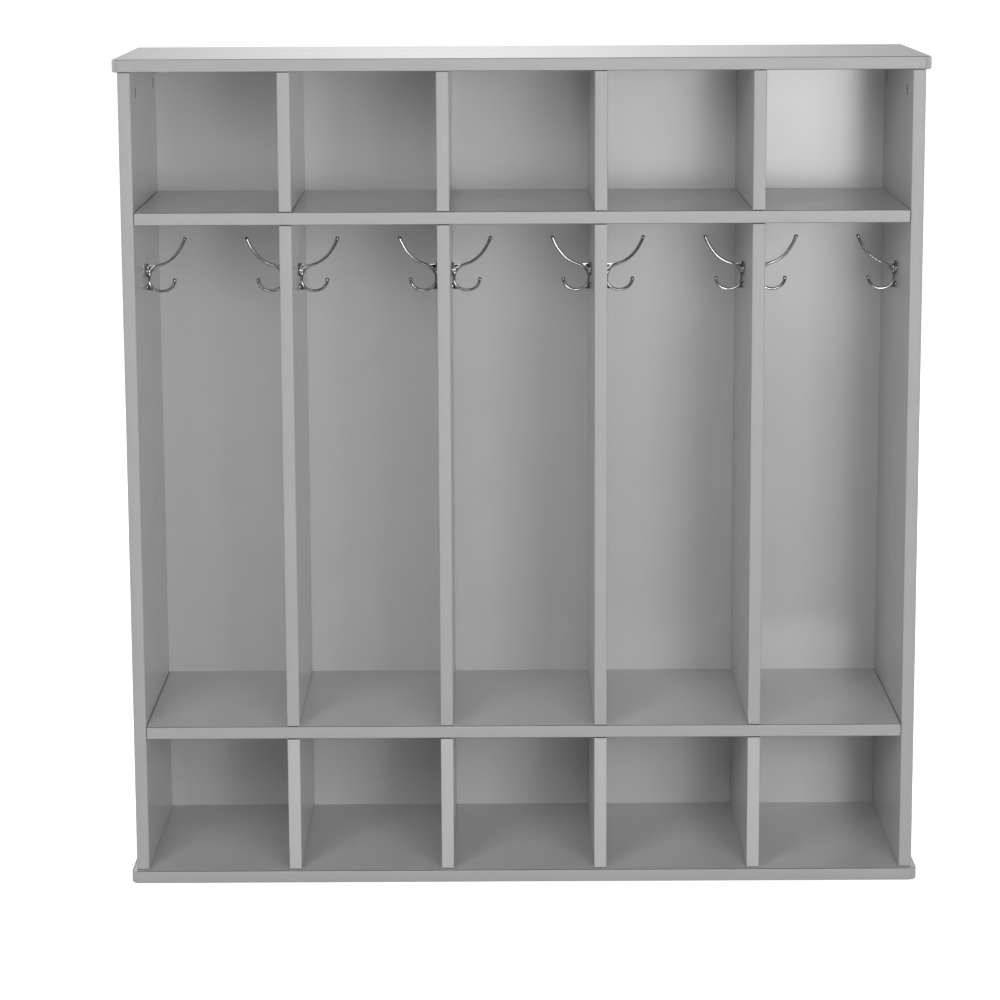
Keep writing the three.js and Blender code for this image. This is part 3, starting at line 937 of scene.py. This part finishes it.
def hook_screw_mesh():
    """A raised countersunk screw along Z, from the wall's face."""
    head = SCREW_HEAD / 2
    shank = SCREW_SHANK / 2
    crown = [
        (head * x, PLATE_FACE + SCREW_CROWN * z)
        for x, z in arc(0, 0, 1, 0, CROWN_DEGREES, CROWN_STEPS)
    ]
    profile = [
        (shank * SCREW_TIP_SHARE, -SCREW_DEPTH), (shank, -SCREW_DEPTH + SCREW_SHANK),
        (shank, PLATE_FACE - SCREW_SINK), *crown,
    ]
    shape = bmesh.new()
    add_turned(shape, profile, Matrix.Identity(4), SCREW_SIDES)
    piece = new_piece("hook_screw", mesh_of(shape, "hook_screw"), steel)
    cross = bmesh.new()
    add_recess(cross, Matrix.Translation((0, 0, PLATE_FACE + SCREW_CROWN)), SCREW_HEAD)
    carve(piece, cross, steel)
    return kept_mesh(piece)


def hook_screws(hook_node, mesh, wall, inward, bay):
    """A hook's two screws in its wall, turned on from those of the bay before."""
    for i in (1, 2):
        node = f"{hook_node}_screw_{i}"
        centre = box_centre(node)
        centre.x = wall
        turn = Matrix.Rotation((2 * bay + i) * SCREW_TURN, 4, "Z")
        piece = new_piece(f"{node}_turned", mesh)
        piece.matrix_world = wall_place(centre, inward) @ turn
        finished(piece, "steel", node)


def hooks():
    """A hook on each wall of each bay, all from one casting and one screw."""
    casting = hook_mesh()
    screw = hook_screw_mesh()
    lowest = min(vertex.co.z for vertex in casting.vertices)
    for bay in range(1, BAY_COUNT + 1):
        for side, inward in SIDES:
            node = f"bay_{bay}_{side}_hook"
            low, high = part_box(node)
            wall = low.x - HOOK_GAP if inward > 0 else high.x + HOOK_GAP
            place = Matrix.Translation((wall, (low.y + high.y) / 2, low.z - lowest))
            piece = new_piece(f"{node}_casting", casting)
            piece.matrix_world = place @ Matrix.Rotation(0 if inward > 0 else math.pi, 4, "Z")
            finished(piece, "chrome", node)
            hook_screws(node, screw, wall, inward, bay)


# Studio

# Camera: angles in degrees, lens and sensor in millimetres
CAMERA_PLACE = (-0.0388, -5.0774, 1.5212)
CAMERA_PITCH = -10.635
CAMERA_YAW = 0.044
CAMERA_ROLL = -0.253
CAMERA_LENS = 117.78
CAMERA_SENSOR = 36
CAMERA_CLIP_END = 100

# Even light from all round
AMBIENT = 0.08

# Soft boxes: name, place, size and power in watts. The fills don't show in gloss.
LAMP_TARGET = (0, 0, 0.7)
LAMPS = (
    ("key_right", (1.41, -4.33, 1.34), 1.0, 35.5),
    ("key_low_right", (0.72, -4.53, 1.02), 1.0, 21.5),
    ("key_small_right", (1.11, -4.45, 1.02), 0.7, 15.5),
    ("front_high", (0, -4.23, 2.24), 1.0, 19.5),
    ("left_high", (-1.17, -4.06, 2.24), 1.0, 5),
    ("left_wide", (-1.6, -3.2, 2.2), 0.9, 7.5),
    ("near_left", (-1.15, -2.3, 1.1), 0.9, 13),
    ("near_left_high", (-1.0, -2.3, 2.0), 0.7, 5),
    ("near_right", (1.15, -2.3, 1.1), 0.9, 7.5),
    ("side_left", (-4, 0.9, 1.9), 1.6, 60),
    ("side_right", (4, 0.9, 1.9), 1.6, 60),
    ("rear_left", (-2.4, 4.2, 2.2), 1.6, 50),
    ("rear_right", (2.4, 4.2, 2.2), 1.6, 50),
    ("overhead", (0, 0.4, 4.6), 1.6, 29),
)
FILLS = ("near_left", "near_left_high", "near_right")

# Floor: its half width and its grey, and how it is lifted to white from near the object to far
FLOOR_REACH = 30
FLOOR_LEVEL = 0.6
FLOOR_LIFT_SHARE = 0.75
FLOOR_LIFT_RANGE = (1.0, 3.0)
STAGE_ROUGHNESS = 0.9

# A dark sheet seen only in gloss, a painted dark reflection: its floor from here to the wall behind
# the camera
ROOM_START = 0.7
ROOM_AWAY = 6.5
ROOM_HALF = 11
ROOM_HIGH = 7
ROOM_FLOOR = 0.002
ROOM_LEVEL = 0.03

# A glowing sheet behind the locker, seen only in gloss, brightest a little left of its middle: a
# painted reflection
BACKDROP_AWAY = 4.6
BACKDROP_HALF = 2.8
BACKDROP_HIGH = 3
BACKDROP_MIDDLE = -0.135
BACKDROP_FADE = 1.6
BACKDROP_BRIGHT = 1.35
BACKDROP_DIM = 0.36


def camera():
    data = bpy.data.cameras.new("camera")
    data.lens = CAMERA_LENS
    data.sensor_width = CAMERA_SENSOR
    data.clip_end = CAMERA_CLIP_END
    viewer = bpy.data.objects.new("camera", data)
    bpy.context.scene.collection.objects.link(viewer)
    aim = Euler((math.radians(90 + CAMERA_PITCH), 0, math.radians(-CAMERA_YAW))).to_matrix()
    roll = Matrix.Rotation(math.radians(CAMERA_ROLL), 3, "Z")
    viewer.matrix_world = Matrix.Translation(CAMERA_PLACE) @ (aim @ roll).to_4x4()
    bpy.context.scene.camera = viewer


def lamp(name, place, size, power):
    """A square soft box, itself unseen by the camera."""
    data = bpy.data.lights.new(name, "AREA")
    data.size = size
    data.energy = power
    light = bpy.data.objects.new(name, data)
    light.visible_camera = False
    light.visible_glossy = name not in FILLS
    bpy.context.scene.collection.objects.link(light)
    aim = (Vector(LAMP_TARGET) - Vector(place)).to_track_quat("-Z", "Y")
    light.matrix_world = Matrix.Translation(place) @ aim.to_matrix().to_4x4()


def add_seen(tree):
    """One for a ray from the camera, a gloss or glass, and nought for one that lights a surface."""
    path = tree.nodes.new("ShaderNodeLightPath").outputs
    direct = add_math(tree, "MAXIMUM", path["Is Camera Ray"], path["Is Glossy Ray"])
    return add_math(tree, "MAXIMUM", direct, path["Is Transmission Ray"])


def world():
    """White where it is seen, and a low even fill on the object."""
    studio_world = bpy.data.worlds.new("studio")
    studio_world.use_nodes = True
    tree = studio_world.node_tree
    tree.nodes.clear()
    fill = tree.nodes.new("ShaderNodeBackground")
    fill.inputs["Strength"].default_value = AMBIENT
    white = tree.nodes.new("ShaderNodeBackground")
    mix = tree.nodes.new("ShaderNodeMixShader")
    output = tree.nodes.new("ShaderNodeOutputWorld")
    for background in (fill, white):
        background.inputs["Color"].default_value = (1, 1, 1, 1)
    tree.links.new(add_seen(tree), mix.inputs["Fac"])
    tree.links.new(fill.outputs[0], mix.inputs[1])
    tree.links.new(white.outputs[0], mix.inputs[2])
    tree.links.new(mix.outputs[0], output.inputs["Surface"])
    bpy.context.scene.world = studio_world


def sheet(name, half_width, side_line, material):
    """A wide sheet of the studio: a line in the YZ plane, drawn out to both sides."""
    shape = bmesh.new()
    pairs = [
        [shape.verts.new((x, y, z)) for x in (-half_width, half_width)] for y, z in side_line
    ]
    for (a, b), (c, d) in zip(pairs, pairs[1:]):
        shape.faces.new((a, b, d, c))
    piece = new_piece(name, mesh_of(shape, name), material)
    return piece


def gloss_only(piece):
    """Keeps a sheet out of everything but reflections."""
    piece.visible_camera = False
    piece.visible_diffuse = False
    piece.visible_transmission = False
    piece.visible_shadow = False


def floor():
    """A pale floor that keeps the object's shadow, and otherwise is seen white, like the world."""
    material, tree, shader = node_tree("floor")
    shader.inputs["Base Color"].default_value = (*grey(FLOOR_LEVEL), 1)
    shader.inputs["Roughness"].default_value = STAGE_ROUGHNESS
    away = tree.nodes.new("ShaderNodeVectorMath")
    away.operation = "LENGTH"
    tree.links.new(own_coordinates(tree), away.inputs[0])
    lift = add_range(tree, away.outputs["Value"], FLOOR_LIFT_SHARE, 1, FLOOR_LIFT_RANGE)
    both = tree.nodes.new("ShaderNodeAddShader")
    tree.links.new(shader.outputs[0], both.inputs[0])
    glow = add_glow(tree, add_math(tree, "MULTIPLY", lift, add_seen(tree)))
    tree.links.new(glow, both.inputs[1])
    tree.links.new(both.outputs[0], tree.nodes["Material Output"].inputs["Surface"])
    sheet("floor", FLOOR_REACH, [(-FLOOR_REACH, 0), (FLOOR_REACH, 0)], material)


def room():
    """A dark sheet that shows only in gloss and neither lights nor shades: a painted dark reflection,
    standing for the dark end of the room.
    """
    material, _, shader = node_tree("room")
    shader.inputs["Base Color"].default_value = (*grey(ROOM_LEVEL), 1)
    shader.inputs["Roughness"].default_value = STAGE_ROUGHNESS
    line = [(-ROOM_START, ROOM_FLOOR), (-ROOM_AWAY, ROOM_FLOOR), (-ROOM_AWAY, ROOM_HIGH)]
    gloss_only(sheet("room", ROOM_HALF, line, material))


def backdrop():
    """A glowing sheet behind the locker, which shows only in gloss: a painted reflection, as in the
    top panel's face.
    """
    material, tree, _ = node_tree("backdrop")
    place = tree.nodes.new("ShaderNodeSeparateXYZ")
    tree.links.new(own_coordinates(tree), place.inputs[0])
    across = add_math(tree, "SUBTRACT", place.outputs["X"], BACKDROP_MIDDLE)
    away = add_math(tree, "ABSOLUTE", across, 0)
    fade = add_range(tree, away, BACKDROP_BRIGHT, BACKDROP_DIM, (0, BACKDROP_FADE))
    fade.node.interpolation_type = "SMOOTHSTEP"
    tree.links.new(add_glow(tree, fade), tree.nodes["Material Output"].inputs["Surface"])
    line = [(BACKDROP_AWAY, ROOM_FLOOR), (BACKDROP_AWAY, BACKDROP_HIGH)]
    gloss_only(sheet("backdrop", BACKDROP_HALF, line, material))


def studio():
    bpy.context.scene.view_settings.view_transform = "Standard"
    camera()
    world()
    floor()
    room()
    backdrop()
    for name, place, size, power in LAMPS:
        lamp(name, place, size, power)


slabs()
side_panels()
shelves()
dividers()
back_panel()
cam_locks()
cam_bolts()
hooks()
studio()
